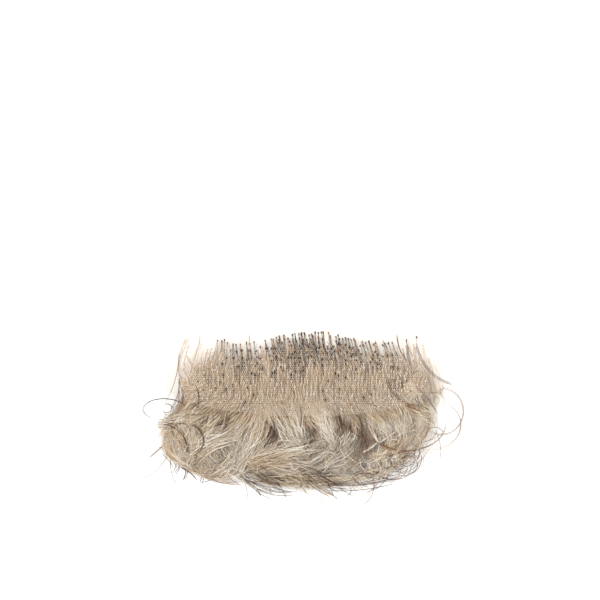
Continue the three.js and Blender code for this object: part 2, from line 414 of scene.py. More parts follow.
def knot_tones(places):
    """Dark at the front in the middle, blond below and to the sides, with ginger ones here and there."""
    x, y = places.T
    depth = hairline(x) - y
    in_middle = np.exp(-(x / MIDDLE_REACH) ** 4)
    dark_depth = (14 + 13 * np.exp(-((x + 3 * MM) / (30 * MM)) ** 2)) * MM
    dark_most = 0.56 + 0.2 * np.exp(-((x - 2 * MM) / (20 * MM)) ** 2)
    dark_share = 0.02 + dark_most * in_middle * (1 - smooth(share(depth, 0.1 * dark_depth, dark_depth)))
    dark_share += 0.08 * (1 - in_middle) * (depth < 3 * MM)
    in_first_row = (depth < FIRST_ROW) & (np.abs(x) < FIRST_ROW_REACH)
    dark_share = np.where(in_first_row, FIRST_ROW_DARK, dark_share)
    ginger_share = 0.02 + 0.14 * in_middle * (1 - share(depth, 0, 12 * MM))
    draw = chance.random(len(x))
    tones = chance.uniform(*BLOND_TONES, len(x))
    tones = tones + 0.2 * share(x, 12 * MM, 45 * MM) + 0.12 * share(-x, 30 * MM, 60 * MM)
    tones = np.where(chance.random(len(x)) < PALEST_SHARE, PALEST_TONE, tones)
    tones = np.where(draw < dark_share + ginger_share, chance.uniform(*GINGER_TONES, len(x)), tones)
    return np.where(draw < dark_share, chance.uniform(*DARK_TONES, len(x)), tones)


def multiplied(tree, factor, first, second):
    """One colour darkened by another, by the given factor."""
    made = add_node(tree, "ShaderNodeMix",
                    {"data_type": "RGBA", "blend_type": "MULTIPLY", "Factor": factor},
                    {"A": first, "B": second})
    return made.outputs["Result"]


def hair_material(name, shine, glint_strength):
    """Hair: each strand has one colour, from near black through ginger to pale blond, with a sheen.

    Crimped hair is flat and turns along its length, so a noise paints glints and shade on each strand:
    lighter and darker patches where it would catch the light. The last argument says how strongly.
    """
    material, tree = new_material(name)
    strand, tone, way = strand_map(tree)
    pigment = shaded(tree, tone, (0.0, "#241c1a"), (0.13, "#463832"), (0.22, "#6c594d"), (0.26, "#7d563a"),
                     (0.34, "#b3845a"), (0.38, "#85756a"), (0.50, "#ae9d89"), (0.70, "#d3c4ac"),
                     (0.88, "#e9dfcc"), (1.0, "#faf5ec"))
    # The colour is darker and warmer towards each strand's root, and full from a little past the middle of
    # its way to the tip.
    darker_at_roots = shaded(tree, way, (0.0, "#ead5be"), (0.35, "#e4d9ca"), (0.6, "#ffffff"))
    # Painted glints and shade: a noise stretched along each strand lightens and darkens its colour in
    # patches.
    stretched = add_node(tree, "ShaderNodeMapping", {"Scale": (400.0, 45.0, 1.0)}, {"Vector": strand})
    glint_noise = add_node(tree, "ShaderNodeTexNoise", {"Scale": 1.0, "Detail": 1.0},
                     {"Vector": stretched.outputs["Vector"]})
    glint = shaded(tree, glint_noise.outputs["Fac"], (0.35, "#cfc4ba"), (0.62, "#ffffff"))
    darkened_rootwards = multiplied(tree, 1.0, pigment, darker_at_roots)
    with_painted_glints = multiplied(tree, glint_strength, darkened_rootwards, glint)
    hair = add_node(tree, "ShaderNodeBsdfPrincipled",
                    {"Roughness": shine, "IOR": 1.55, "Specular IOR Level": 0.3}, {"Base Color": with_painted_glints})
    add_node(tree, "ShaderNodeOutputMaterial", links={"Surface": hair.outputs["BSDF"]})
    return material


knots = knot_places()
tones = knot_tones(knots)
kept = few_pale_in_front(knots, tones)
knots, tones = knots[kept], tones[kept]

knot_way = np.linspace(0.5, -0.5, KNOT_STATIONS)
knot_girth = np.array([0.45, 1.0, 0.9, 0.35])
knot_size = chance.uniform(*KNOT_SIZES, len(knots)) * np.where(tones < BLOND_FROM, 1.0, BLOND_KNOT_SIZE)
knot_paths = np.zeros((len(knots), KNOT_STATIONS, 3))
knot_paths[..., 0] = knots[:, None, 0] + chance.normal(0, KNOT_WANDER, (len(knots), KNOT_STATIONS))
knot_paths[..., 1] = knots[:, None, 1] + KNOT_LENGTH * knot_way * knot_size[:, None]
knot_paths[..., 2] = lace_lift(knot_paths[..., 0], knot_paths[..., 1]) + KNOT_RISE
knot_radii = KNOT_RADIUS * knot_girth * knot_size[:, None]
knot_mesh = tube_mesh("hair_knots", knot_paths, knot_radii, tones)
knotted_hair = hair_material("knotted_hair", 0.5, 0.8)
new_piece("hair_knots", knot_mesh, knotted_hair, "lace_foundation")


# The hair falls from the knots in three layers, as shingles do: what is tied first lies on the table.
# Each hair runs down under the lace into a lock, and the locks swing and curl as crimped hair does.
# A real hair is about 0.08 mm thick. It is drawn coarser here, about 0.2 mm, with fewer hairs a lock.
HAIR_PILE = LACE_CREST - CLEARANCE
HAIR_FALL = 38.5 * MM
TIP_PILE = 4.7 * MM
LAYERS = 3
THINNEST = 0.8 * MM
LINE_POINTS = 80
POINTS_ABOVE = 30

# The layers' rows mingle a little, and each lock gathers its hairs into clumps on the way to its tip.
LAYER_MINGLING = 0.07
LANES_ACROSS = 7.3
LANES_DOWN = 3.1
LOCK_STRAYING = 2.2 * MM
LOCK_OVERLAP = 1.4
TIP_SHARE = 0.25
CLUMPS = 9
CLUMP_WAVES = (16 * MM, 34 * MM)
CLUMP_SWELLS = (0.3 * MM, 1.0 * MM)
GATHERING = 0.4
GATHERED_AFTER = 13 * MM

# Each hair has a thickness, a length, and a wave and a hook of its own, and loose ones wander more.
HAIR_RADIUS = 0.11 * MM
HAIR_THICKNESSES = (0.55, 0.8, 1.4)
HAIR_STATIONS = 14
SHORTEST_HAIR = 12 * MM
TIED_LENGTH = 1 * MM
HAIR_WAVES = (13 * MM, 32 * MM)
FRIZZ = 0.5
FRIZZ_SPREAD = 0.6
HOOK = 2.6 * MM
LOOSE_SHARE = 0.2
LOOSE_FRIZZ = 2.5
LOOSE_HOOK = 2.4
GINGER_TURNED_BLOND = 0.7
DARK_TURNED_BROWN = 0.2
BROWN_TONES = (0.38, 0.5)
BROWN_SHARE = 0.08
STREAKING = 0.08

# The hair is combed to a round lower edge, wider at the left. The hollow's rows are y and x in millimetres.
COMBED_BELOW = -50 * MM
COMBED_DROP = 37 * MM
COMBED_LEFT = 76 * MM
COMBED_RIGHT = 67.5 * MM
LEFT_ROUNDNESS = 2.5
RIGHT_ROUNDNESS = 1.9
HOLLOW = [(-56, -76), (-52, -70.5), (-48, -61.5), (-43, -57), (-30, -65)]

# A lock's root, tip and width are shares of half the lace's width, its drop is a share of the hair's
# fall, and its bow and sway are shares of its length. A layer's rows are shares of the knots' depth,
# its locks set off at root_at and bow most at bend_at, and each of its knots holds so many hairs.
Lock = namedtuple("Lock", "root tip drop bow sway width")
Layer = namedtuple("Layer", "number piece slot first_row last_row root_at bend_at hairs locks")


def pile_at(x, y):
    """How thick the hair lies, full in the middle and thin at the sides and tips."""
    to_side = share(np.abs(x), HALF_WIDTH / 2, HALF_WIDTH)
    to_tip = share(lace_bottom(x) - y, 0, HAIR_FALL)
    to_edge = np.minimum(np.hypot(to_side, to_tip), 1)
    return HAIR_PILE + (TIP_PILE - HAIR_PILE) * to_edge ** 2


def layer_height(number, x, y, rise):
    """A height inside a layer of hair, from 0 at its floor to 1 at its ceiling."""
    floor = pile_at(x, y) * number / LAYERS + (CLEARANCE if number else 0)
    ceiling = np.maximum(pile_at(x, y) * (number + 1) / LAYERS, floor + THINNEST)
    return floor + (ceiling - floor) * rise


def layer_start(number, x):
    """Where a layer starts under the lace."""
    room = pile_at(x, 0 * x) * number / LAYERS + (CLEARANCE if number else 0) + THINNEST + CLEARANCE
    from_side = eased(share(HALF_WIDTH - SIDE_MARGIN - np.abs(x), 0, SIDE_CLIMB))
    climb = np.minimum(room / LACE_CREST / from_side, 1)
    return -TOP_MARGIN - TOP_CLIMB * (1 - np.sqrt(1 - climb))


def lock_line(layer, lock):
    """A lock's middle line from the hairline to its tip, and how far along the lock each point is."""
    root_x = np.array(lock.root * HALF_WIDTH)
    top = layer_start(layer.number, root_x)
    root = np.array([root_x, top + (lace_bottom(root_x) - top) * layer.root_at])
    tip = np.array([lock.tip * HALF_WIDTH, -LACE_HEIGHT - lock.drop * HAIR_FALL])
    chord = tip - root
    t = np.linspace(0, 1, LINE_POINTS)
    bend = math.pi * t ** (math.log(0.5) / math.log(layer.bend_at))
    side = lock.bow * np.sin(bend) + lock.sway * np.sin(2 * bend)
    swing = root + t[:, None] * chord + side[:, None] * [chord[1], -chord[0]]
    above = np.linspace(1, 0, POINTS_ABOVE, endpoint=False)[:, None] * [0.0, float(-root[1])]
    line = np.concatenate([root + above, swing])
    return line, np.concatenate([np.zeros(POINTS_ABOVE), t])


def kept_in(x, y, slack):
    """Points moved in where they lie outside the edge that the hair is combed to, all but the given share.

    The lower edge is round, and above it at the left the hair leaves a hollow open under the lace.
    """
    hollow_y, hollow_x = np.array(HOLLOW).T * MM
    hollow = np.interp(y, hollow_y, hollow_x)
    outside = (x < hollow) & (y > hollow_y[0])
    x = np.where(outside, hollow + 0.9 * slack * (x - hollow), x)
    reach = np.where(x < 0, COMBED_LEFT, COMBED_RIGHT)
    power = np.where(x < 0, LEFT_ROUNDNESS, RIGHT_ROUNDNESS)
    drop = np.maximum(COMBED_BELOW - y, 0) / COMBED_DROP
    beyond = (np.abs(x / reach) ** power + drop ** power) ** (1 / power)
    scale = np.where((beyond > 1) & (drop > 0), (1 + slack * (beyond - 1)) / np.maximum(beyond, 1), 1)
    return x * scale, np.where(drop > 0, COMBED_BELOW - drop * COMBED_DROP * scale, y)


def strand_tones(knot_tone, streak):
    """Each hair near its knot's tone, but few ginger ones, and some darker ones among the blond."""
    draw = chance.random(len(knot_tone))
    dark = knot_tone < GINGER_FROM
    ginger = (knot_tone > GINGER_FROM) & (knot_tone < BLOND_FROM)
    knot_tone = np.where(ginger & (draw < GINGER_TURNED_BLOND), 0.6, knot_tone)
    knot_tone = np.where(dark & (draw < DARK_TURNED_BROWN), 0.45, knot_tone)
    blond = knot_tone > BLOND_FROM
    knot_tone = np.where(knot_tone > 0.5, 0.5 * knot_tone + 0.41, knot_tone)
    tone = knot_tone + chance.normal(0, 1, len(knot_tone)) * np.where(blond, 0.14, 0.03) + streak * blond
    brown = blond & (chance.random(len(tone)) < BROWN_SHARE)
    tone = np.where(brown, chance.uniform(*BROWN_TONES, len(tone)), tone)
    return np.clip(tone, np.where(blond, BROWN_TONES[0], 0.01), np.where(blond, 0.99, GINGER_TONES[1]))


def grow(layer, places, tones, side):
    """Grows the hairs of one side of a layer from their knots. Returns their paths, radii and tones."""
    x, y = places.T
    depth = (hairline(x) - y) / (hairline(x) - lace_bottom(x))
    mingled = depth + LAYER_MINGLING * np.sin((LANES_ACROSS * x + LANES_DOWN * y) / MM)
    mingled = np.clip(mingled, layer.first_row if layer.number == 0 else -1, 1)
    rooted = ((x < 0) == (side == "left")) & (mingled >= layer.first_row) & (mingled < layer.last_row)
    roots = np.repeat(places[rooted], layer.hairs, axis=0)
    tone = np.repeat(tones[rooted], layer.hairs)
    rank = np.repeat(depth[rooted], layer.hairs)
    airy = share(np.abs(roots[:, 0]), 40 * MM, 58 * MM) * (1 - share(rank, 0.2, 0.7))
    kept = chance.random(len(roots)) > np.maximum(0.75 * airy, 0.3 * (tone < BLOND_FROM))
    roots, tone, rank = roots[kept], tone[kept], rank[kept]
    lock_roots = np.array([lock.root * HALF_WIDTH for lock in layer.locks])
    wander = roots[:, 0] + chance.normal(0, LOCK_STRAYING, len(roots))
    chosen = np.abs(wander[:, None] - lock_roots).argmin(axis=1)
    grown = [grow_lock(layer, lock, roots[chosen == i], rank[chosen == i], tone[chosen == i])
             for i, lock in enumerate(layer.locks) if (chosen == i).any()]
    return [np.concatenate(part) for part in zip(*grown)]


def grow_lock(layer, lock, roots, rank, tone):
    """Grows the hairs of one lock from their knots to its tip."""
    line, along = lock_line(layer, lock)
    steps = np.linalg.norm(np.diff(line, axis=0), axis=1)
    arc = np.concatenate([[0], np.cumsum(steps)])
    heading = np.gradient(line, axis=0)
    heading /= np.linalg.norm(heading, axis=1, keepdims=True)
    across = np.stack([-heading[:, 1], heading[:, 0]], -1)
    count = len(roots)
    loose = chance.random(count) < LOOSE_SHARE

    below_root = np.argmax(line[:, 1] < roots[:, 1][:, None], axis=1)
    start = arc[np.maximum(below_root - 1, 0)]
    shortest = 0.45 - 0.15 * share(lock.tip, 0.3, 0.7)
    length = arc[-1] * chance.triangular(shortest, 2 * shortest, 1.1, count) - start
    length = np.maximum(length, SHORTEST_HAIR)
    u = np.linspace(0, 1, HAIR_STATIONS)
    s = start[:, None] + length[:, None] * (1.4 * u - 0.4 * u * u)
    beyond = np.maximum(s - arc[-1], 0)
    x = np.interp(s, arc, line[:, 0]) + beyond * heading[-1, 0]
    y = np.interp(s, arc, line[:, 1]) + beyond * heading[-1, 1]
    out_x = np.interp(s, arc, across[:, 0])
    out_y = np.interp(s, arc, across[:, 1])
    t = np.interp(s, arc, along)

    half_lock = lock.width * HALF_WIDTH / 2 * LOCK_OVERLAP
    offset = roots[:, 0] - line[0, 0]
    lane = np.clip(offset / half_lock, -1.1, 1.1) + chance.normal(0, 0.1, count)
    clump = np.floor((lane + 1) / 2 * CLUMPS).astype(int).clip(0, CLUMPS - 1)
    clump_lane = np.linspace(-1, 1, CLUMPS) + chance.normal(0, 0.2, CLUMPS)
    gather = GATHERING * smooth(t)
    lane_now = lane[:, None] * (1 - gather) + clump_lane[clump][:, None] * gather
    lane_now += chance.normal(0, 0.25, count)[:, None] * t
    width = half_lock * (1 - (1 - TIP_SHARE) * t ** 2)
    run = smooth(np.clip((s - start[:, None]) / GATHERED_AFTER, 0, 1))
    aside = (offset + chance.normal(0, 0.14 * MM, count))[:, None] * (1 - run) + lane_now * width * run

    wave = chance.uniform(*CLUMP_WAVES, CLUMPS)[clump][:, None]
    swell = chance.uniform(*CLUMP_SWELLS, CLUMPS)[clump][:, None]
    phase = chance.uniform(0, 2 * math.pi, CLUMPS)[clump][:, None]
    aside += swell * t * np.sin(2 * math.pi * s / wave + phase)
    frizz = chance.lognormal(math.log(FRIZZ), FRIZZ_SPREAD, count) * np.where(loose, LOOSE_FRIZZ, 1) * MM
    own_wave = chance.uniform(*HAIR_WAVES, count)[:, None]
    own_phase = chance.uniform(0, 2 * math.pi, count)[:, None]
    aside += frizz[:, None] * (0.12 + 1.1 * t) * run * np.sin(2 * math.pi * s / own_wave + own_phase)
    hook = chance.normal(0, HOOK, count) * np.where(loose, LOOSE_HOOK, 1)
    aside += hook[:, None] * t ** 3
    x, y = kept_in(x + out_x * aside, y + out_y * aside, chance.uniform(0.1, 0.7, count)[:, None])

    rise = 0.5 + 0.5 * np.sqrt(1 - np.clip(lane_now, -1, 1) ** 2) * chance.uniform(-1, 1, count)[:, None]
    rise = np.clip(rise + 0.25 * np.sin(2 * math.pi * s / own_wave + 1.7), 0, 1)
    free = layer_height(layer.number, x, y, rise)
    row_share = (hairline(x) - y) / (hairline(x) - lace_bottom(x))
    sunk = np.clip(rank[:, None] / np.maximum(row_share, 0.02), 0, 1)
    held = np.maximum(lace_lift(x, y) - CLEARANCE, 0.1 * MM) * sunk
    tied = s - start[:, None] < TIED_LENGTH
    held = np.where(tied, lace_lift(x, y), held)
    leaving = smooth(share(lace_bottom(x) - y, -12 * MM, 5 * MM))
    z = np.maximum(held * (1 - leaving) + free * leaving, 2 * HAIR_RADIUS)
    z = np.where(tied, z, under_lace(x, y, z))
    paths = np.stack([x, y, z], -1)
    taper = np.interp(u, [0, 0.08, 0.7, 1], [1.1, 1.0, 0.9, 0.25])
    radii = HAIR_RADIUS * chance.triangular(*HAIR_THICKNESSES, count)[:, None] * taper
    streak = chance.normal(0, STREAKING, CLUMPS)[clump]
    return paths, radii, strand_tones(tone, streak)


OUTER_LOCKS = [
    Lock(-0.73, -0.97, 0.14, -0.13, 0.00, 0.13),
    Lock(-0.67, -0.93, 0.52, -0.14, 0.00, 0.15),
    Lock(-0.62, -0.78, 0.74, 0.04, 0.00, 0.16),
    Lock(-0.54, -0.57, 0.84, 0.17, 0.00, 0.17),
    Lock(-0.42, -0.34, 0.93, 0.21, 0.00, 0.17),
    Lock(-0.30, -0.12, 0.97, 0.23, 0.00, 0.17),
    Lock(-0.18, 0.04, 0.98, 0.22, 0.00, 0.17),
    Lock(-0.06, 0.20, 0.95, 0.21, 0.00, 0.17),
    Lock(0.06, 0.34, 0.91, 0.20, 0.00, 0.17),
    Lock(0.18, 0.47, 0.86, 0.19, 0.00, 0.17),
    Lock(0.30, 0.59, 0.79, 0.17, 0.00, 0.17),
    Lock(0.42, 0.68, 0.70, 0.07, 0.00, 0.17),
    Lock(0.54, 0.76, 0.59, -0.03, 0.00, 0.16),
    Lock(0.66, 0.79, 0.45, -0.12, 0.00, 0.15),
    Lock(0.76, 0.80, 0.27, -0.12, 0.00, 0.13),
]
MIDDLE_LOCKS = [
    Lock(-0.58, -0.88, 0.58, 0.14, 0.00, 0.15),
    Lock(-0.46, -0.86, 0.60, -0.20, 0.00, 0.15),
    Lock(-0.36, -0.05, 0.84, 0.34, -0.08, 0.16),
    Lock(-0.13, -0.03, 0.80, 0.22, -0.08, 0.16),
    Lock(0.05, -0.40, 0.62, -0.24, 0.00, 0.15),
    Lock(0.21, -0.26, 0.70, -0.27, 0.00, 0.15),
    Lock(0.34, 0.00, 0.74, -0.26, 0.00, 0.15),
    Lock(0.48, 0.26, 0.76, -0.16, 0.00, 0.15),
    Lock(0.59, 0.46, 0.64, -0.26, 0.00, 0.14),
    Lock(0.66, 0.62, 0.52, -0.32, 0.00, 0.13),
]
UNDER_LOCKS = [
    Lock(-0.55, -0.93, 0.10, -0.08, 0.00, 0.13),
    Lock(-0.60, -0.82, 0.66, 0.12, 0.12, 0.13),
    Lock(-0.52, -0.76, 0.62, 0.04, 0.08, 0.13),
    Lock(-0.46, -0.56, 0.82, 0.34, -0.10, 0.14),
    Lock(-0.38, -0.48, 0.72, 0.30, -0.12, 0.13),
    Lock(-0.28, -0.42, 0.64, 0.00, -0.03, 0.13),
    Lock(-0.28, -0.05, 0.42, 0.06, 0.00, 0.18),
    Lock(-0.13, -0.03, 0.40, -0.04, 0.00, 0.14),
    Lock(0.00, 0.19, 0.37, 0.03, 0.00, 0.17),
    Lock(0.18, 0.26, 0.38, -0.06, 0.00, 0.14),
    Lock(0.35, 0.50, 0.38, -0.04, 0.00, 0.15),
    Lock(0.50, 0.58, 0.36, -0.22, 0.00, 0.13),
    Lock(0.60, 0.68, 0.29, -0.26, 0.00, 0.12),
]
layers = [
    Layer(0, "outer_hair", "dark_hair", first_row=-0.1, last_row=0.3, root_at=0.04, bend_at=0.74, hairs=6,
          locks=OUTER_LOCKS),
    Layer(1, "middle_hair", "ash_hair", first_row=0.3, last_row=0.6, root_at=0.75, bend_at=0.5, hairs=6,
          locks=MIDDLE_LOCKS),
    Layer(2, "under_hair", "blond_hair", first_row=0.6, last_row=1.01, root_at=0.7, bend_at=0.5, hairs=7,
          locks=UNDER_LOCKS),
]

loose_hair = hair_material("crimped_hair", 0.42, 0.8)
for layer in layers:
    for side in ("left", "right"):
        paths, radii, shades = grow(layer, knots, tones, side)
        name = f"{layer.piece}_{side}"
        mesh = tube_mesh(name, paths, radii, shades)
        new_piece(name, mesh, loose_hair, layer.piece)


# The curls: crimped hair springs into rings and arcs at its ends, and they lie over the locks.
# Each wisp bends round one centre, from a start angle through a sweep, and lies from low to high in the
# pile. Single hairs lie across the others on top: brown ones, and near-white ones that are pale hair with a
# painted highlight.
WISP_STATIONS = 13
WISP_SLACK = 0.4
WIDENING = 0.22
WISP_RIPPLE = 0.45
WISP_THICKNESSES = (0.6, 0.9, 1.7)
DARK_IN_WISPS = 0.05
CROSSING_HAIRS = 220
CROSSING_MIDDLE = (-4, -63)
CROSSING_REACH = (62, 24)
CROSSING_BENDS = (9, 40)
CROSSING_LENGTHS = (8, 20)
BROWN_CROSSINGS = 0.3
BROWN_TONE = 0.42
DEGREES_IN_RADIAN = 57
Wisp = namedtuple("Wisp", "x y radius start sweep spread hairs low high tone")

WISPS = [
    Wisp(-73, -69, 12, 100, -150, 2.4, 70, 0.8, 1.02, 0.84),
    Wisp(-70, -71, 4.5, 90, 330, 1.4, 24, 0.8, 1.0, 0.66),
    Wisp(-60, -64, 7.3, 75, -140, 2.2, 60, 0.8, 1.02, 0.84),
    Wisp(-76, -15, 41, -44, -46, 2.2, 80, 0.8, 1.02, 0.76),
    Wisp(-43, -73, 9, 150, -230, 3.0, 50, 0.6, 1.0, 0.86),
    Wisp(32, -59, 18, 35, -110, 3.5, 70, 0.6, 1.0, 0.88),
    Wisp(43, -54, 17, 30, -120, 4.0, 60, 0.5, 1.0, 0.90),
    Wisp(11, -10, 76, -121, 62, 2.4, 90, 0.1, 0.7, 0.74),
    Wisp(8, -33, 58, -132, 32, 2.2, 16, 0.05, 0.6, 0.4),
    Wisp(-46, -54, 30, -145, 60, 2.2, 50, 0.05, 0.6, 0.74),
    Wisp(49, -76, 4.2, 60, -240, 1.5, 14, 0.2, 0.7, 0.62),
    Wisp(68, -44, 4.2, 160, -250, 1.3, 5, 0.2, 0.7, 0.50),
]


def arc_through(first, middle, last):
    """The centre, radius, start angle and sweep of the circle's arc through three points."""
    first, middle, last = complex(*first), complex(*middle), complex(*last)
    turned = (last - first) / (middle - first)
    centre = first + (middle - first) * (turned - abs(turned) ** 2) / (2j * turned.imag)
    turns = [(middle - centre) / (first - centre), (last - centre) / (middle - centre)]
    sweep = np.angle(turns, deg=True).sum()
    return centre.real, centre.imag, abs(first - centre), np.angle(first - centre, deg=True), sweep


def pale_swoop(first, middle, last, spread, hairs, tone=0.9):
    """A pale wisp on top of the beard, through three points in millimetres."""
    return Wisp(*arc_through(first, middle, last), spread, hairs, 0.97, 1.03, tone)


def dark_hairs_for_gap_shade(first, middle, last, spread, hairs):
    """Dark hairs laid on top where the hollow between two locks lies in shade, partly dark hair and partly
    painted shade, through three points in millimetres.
    """
    return Wisp(*arc_through(first, middle, last), spread, hairs, 0.98, 1.03, 0.2)


SWOOPS = [
    # The first rows paint the shade in the hollows between locks with dark hairs laid on top.
    dark_hairs_for_gap_shade((-17.0, -52.0), (-16.0, -60.0), (-21.0, -69.0), 2.0, 44),
    dark_hairs_for_gap_shade((1.0, -52.5), (4.0, -59.8), (0.5, -67.0), 1.7, 38),
    dark_hairs_for_gap_shade((15.1, -50.0), (19.0, -59.3), (17.2, -68.1), 1.0, 40),
    dark_hairs_for_gap_shade((23.0, -53.0), (23.7, -59.2), (22.5, -65.5), 0.5, 10),
    dark_hairs_for_gap_shade((26.5, -50.0), (31.7, -63.4), (26.0, -78.0), 1.4, 30),
    dark_hairs_for_gap_shade((-40.3, -49.3), (-43.0, -55.8), (-48.4, -61.8), 2.0, 26),
    pale_swoop((-23.2, -47.9), (-24.3, -60.4), (-32.2, -75.1), 1.2, 40),
    pale_swoop((-27.7, -47.9), (-32.8, -58.1), (-40.2, -65.5), 1.5, 36),
    pale_swoop((-19.8, -52.4), (-20.9, -63.8), (-28.8, -74.5), 1.0, 30),
    pale_swoop((-11.9, -59.8), (-17.5, -67.7), (-24.9, -74.5), 1.2, 14),
    pale_swoop((-19.8, -43.4), (-15.3, -54.1), (-8.5, -63.8), 1.3, 40),
    pale_swoop((-13.0, -42.2), (-8.5, -54.1), (-2.8, -66.0), 1.3, 50),
    pale_swoop((-6.2, -41.1), (-3.9, -53.6), (-1.7, -66.0), 1.3, 36),
    pale_swoop((1.2, -44.5), (6.3, -54.1), (14.8, -63.8), 1.3, 46),
    pale_swoop((6.8, -43.4), (11.4, -52.4), (15.9, -63.2), 1.0, 30),
    pale_swoop((21.0, -54.7), (21.6, -60.4), (18.7, -66.0), 0.8, 20),
    pale_swoop((25.0, -53.6), (26.1, -60.4), (23.8, -66.6), 0.8, 20),
    pale_swoop((-30.0, -75.7), (-11.9, -68.9), (7.4, -63.2), 1.4, 30, 0.74),
    pale_swoop((-30.0, -76.2), (-11.9, -72.8), (5.1, -68.9), 1.6, 40, 0.7),
    pale_swoop((-29.4, -77.3), (-13.0, -76.2), (2.9, -79.6), 1.6, 40, 0.7),
    pale_swoop((-37.9, -53.6), (-44.1, -59.8), (-51.5, -63.8), 1.5, 30),
    pale_swoop((-32.8, -53.0), (-40.2, -60.9), (-50.4, -66.6), 1.5, 30),
    pale_swoop((-61.4, -78.0), (-51.5, -67.6), (-35.4, -60.3), 2.4, 50),
    pale_swoop((-54.1, -83.2), (-42.6, -80.1), (-33.3, -72.8), 2.0, 40),
    pale_swoop((-72.3, -64.5), (-68.6, -73.8), (-59.3, -80.1), 2.2, 40),
    pale_swoop((44.7, -43.7), (51.0, -53.0), (52.0, -62.4), 1.6, 40, 0.8),
    pale_swoop((39.5, -47.8), (47.8, -55.1), (49.4, -64.5), 1.6, 40, 0.8),
    pale_swoop((49.9, -45.2), (59.3, -49.4), (69.2, -54.6), 1.6, 50, 0.7),
    Wisp(*arc_through((62.0, -24.0), (66.0, -36.0), (67.5, -50.0)), 2.2, 40, 0.05, 0.5, 0.8),
    pale_swoop((33.3, -49.9), (41.6, -56.2), (45.2, -65.0), 1.6, 40, 0.8),
    pale_swoop((47.3, -64.5), (42.6, -70.7), (35.4, -75.9), 1.6, 50, 0.8),
    pale_swoop((52.0, -62.4), (47.8, -69.2), (41.6, -73.8), 1.6, 40, 0.8),
    pale_swoop((35.4, -70.3), (41.6, -75.9), (44.7, -82.2), 1.8, 50, 0.7),
]


def arc_points(x, y, across, down, angles):
    """Points on an upright ellipse at the given angles in degrees."""
    turn = np.radians(angles)
    return x + across * np.cos(turn), y + down * np.sin(turn)


def curl_wisp(wisp):
    """The hairs of one wisp: each starts and ends where it likes along the arc and wanders a little."""
    u = np.linspace(0, 1, WISP_STATIONS)
    first = chance.uniform(-0.12, 0.45, wisp.hairs)
    last = chance.uniform(0.6, 1.15, wisp.hairs)
    angles = wisp.start + wisp.sweep * (first[:, None] + (last - first)[:, None] * u)
    radius = wisp.radius + chance.normal(0, wisp.spread, wisp.hairs)
    radius = np.maximum(radius, 0.35 * wisp.radius)[:, None]
    widening = WIDENING * min(wisp.radius, wisp.radius * math.radians(abs(wisp.sweep)) / 2)
    radius = radius + widening * chance.normal(0, 1, wisp.hairs)[:, None] * (u - 0.4)
    ripple = chance.lognormal(math.log(WISP_RIPPLE), FRIZZ_SPREAD, wisp.hairs)[:, None]
    phase = chance.uniform(0, 2 * math.pi, wisp.hairs)[:, None]
    radius = radius + ripple * np.sin(phase + u * chance.uniform(5, 11, wisp.hairs)[:, None])
    centre = chance.normal(0, 0.35 * wisp.spread, (2, wisp.hairs, 1))
    x, y = arc_points(wisp.x + centre[0], wisp.y + centre[1], radius, radius, angles)
    x, y = kept_in(x * MM, y * MM, WISP_SLACK)
    rise = chance.uniform(wisp.low, wisp.high, wisp.hairs)[:, None] + 0.06 * np.sin(phase + 5 * u)
    z = under_lace(x, y, np.maximum(pile_at(x, y) * rise, 2 * HAIR_RADIUS))
    taper = np.interp(u, [0, 0.2, 0.7, 1], [0.3, 1, 0.9, 0.25])
    radii = HAIR_RADIUS * chance.triangular(*WISP_THICKNESSES, wisp.hairs)[:, None] * taper
    tone = strand_tones(np.full(wisp.hairs, wisp.tone), chance.normal(0, 0.06, wisp.hairs))
    dark = chance.random(wisp.hairs) < DARK_IN_WISPS
    return np.stack([x, y, z], -1), radii, np.where(dark, chance.uniform(0.08, 0.3, wisp.hairs), tone)


def crossing_hair():
    """One hair that lies across the others on top of the beard. Some are brown; the rest are near white, pale
    hair with a painted highlight.
    """
    across, down = [reach * chance.random() ** 0.5 for reach in CROSSING_REACH]
    x, y = arc_points(*CROSSING_MIDDLE, across, down, chance.uniform(0, 360))
    bend = chance.uniform(*CROSSING_BENDS)
    heading = chance.normal(-60 if x < -20 else -40, 35)
    turning = chance.choice([-1, 1])
    centre_x, centre_y = arc_points(x, y, bend, bend, heading + 90 * turning)
    tone = BROWN_TONE if chance.random() < BROWN_CROSSINGS else PALEST_TONE
    sweep = turning * chance.uniform(*CROSSING_LENGTHS) / bend * DEGREES_IN_RADIAN
    return Wisp(centre_x, centre_y, bend, heading - 90 * turning, sweep, 0.1, 1, 0.97, 1.02, tone)


wisps = WISPS + SWOOPS + [crossing_hair() for _ in range(CROSSING_HAIRS)]
wisp_strands = [np.concatenate(part) for part in zip(*map(curl_wisp, wisps))]
wisp_mesh = tube_mesh("curled_wisps", *wisp_strands)
new_piece("curled_wisps", wisp_mesh, hair_material("curled_hair", 0.4, 0.3), "under_hair")


# Stray hairs spring clear of the beard in single loops and hooks, mostly dark ones at its sides.
# The long ones have a row each, an ellipse's centre, radii and angles, or three points to pass through.
# The short ones are strewn round the edge, an ellipse with full corners, and droop to the table past it.
STRAY_STATIONS = 24
STRAY_RADIUS = 0.16 * MM
STRAY_DROOP = 22 * MM
DROOP_FROM = 0.96
OVER_LACE = 0.6 * LACE_SOLID
EDGE_STRAYS = 200
EDGE_SPAN = (190, 350)
EDGE_CENTRE = (-1.0, -50.0)
EDGE_REACH = (73.0, 37.5)
EDGE_BAND = (0.88, 1.02)
EDGE_ROUNDNESS = 2.3
EDGE_LENGTHS = (6, 15)
MOST_CURL = 260
BOTTOM_HALF_WIDTH = 34
BOTTOM_BENDS = (12, 35)
SIDE_BENDS = (2.5, 4, 18)
DARK_AT_BOTTOM = 0.45
DARK_AT_LEFT = 0.22
DARK_AT_RIGHT = 0.35
DARK_STRAYS = (0.1, 0.26)
PALE_STRAYS = (0.5, 0.95)
Stray = namedtuple("Stray", "x y across down start sweep spread hairs tone")

